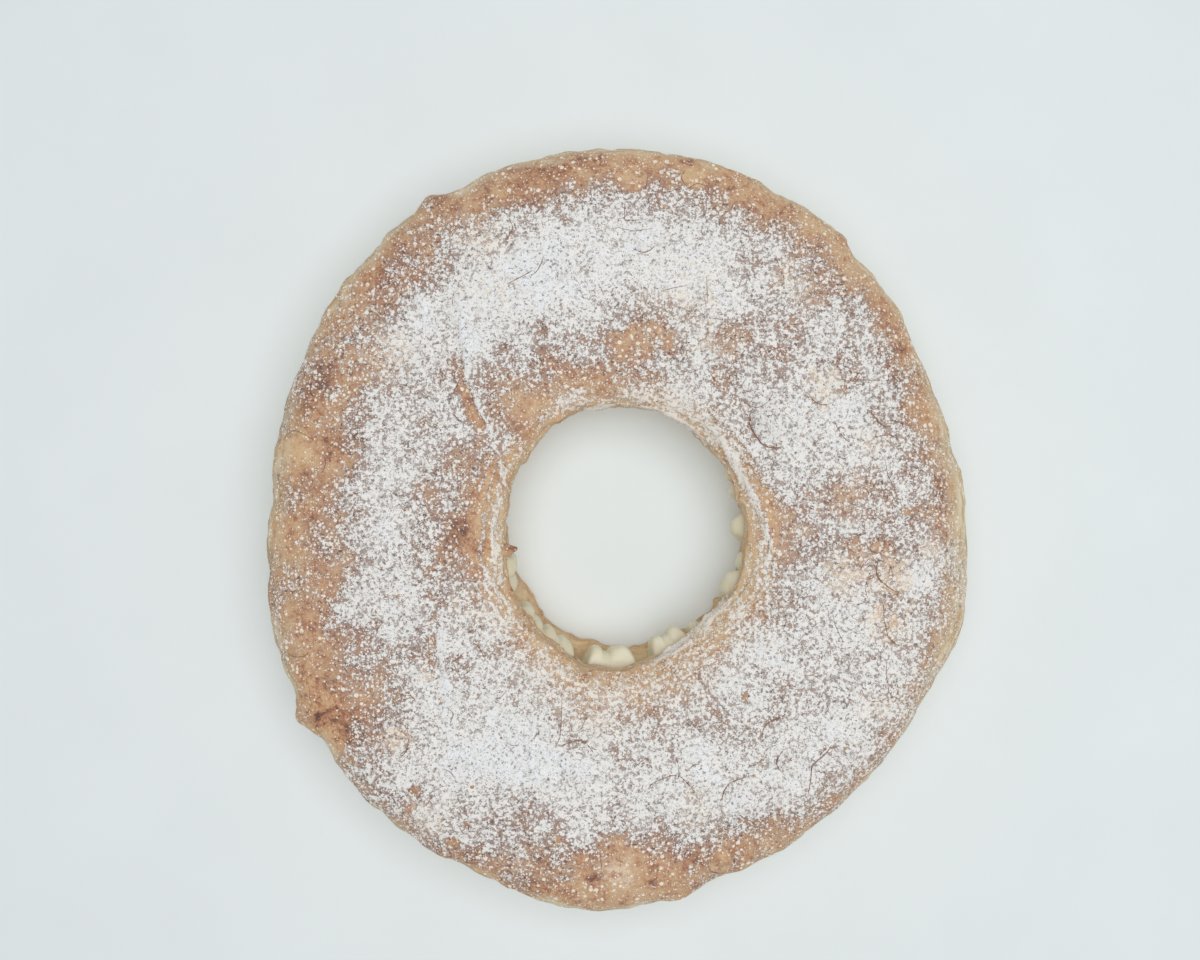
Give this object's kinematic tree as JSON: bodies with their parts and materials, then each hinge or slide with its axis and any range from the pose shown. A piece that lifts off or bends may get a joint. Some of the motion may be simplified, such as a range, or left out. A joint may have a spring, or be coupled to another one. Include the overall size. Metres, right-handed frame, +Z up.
{
  "type": "puff pastry ring",
  "caption": "Split puff pastry ring: a flat baked base ring, a layer of star-piped cream and a puffed, blistered lid ring round an open middle.",
  "frame": {"origin": "on the surface the ring stands on, under the middle of its bounding box", "axes": "+Z up out of the lid, +Y along the ring's longer diameter, +X along its shorter diameter"},
  "size_m": [0.2794, 0.302, 0.0506],
  "materials": {
    "base_crust": "baked flaky dough, matt",
    "cream": "piped cream, soft satin",
    "lid_crust": "browned crust, matt to satin",
    "icing_sugar": "fine white powder, matt"
  },
  "bodies": {
    "root": {"base_pastry": "base_crust", "cream_filling": "cream", "lid_pastry": "lid_crust"}
  },
  "joints": []
}
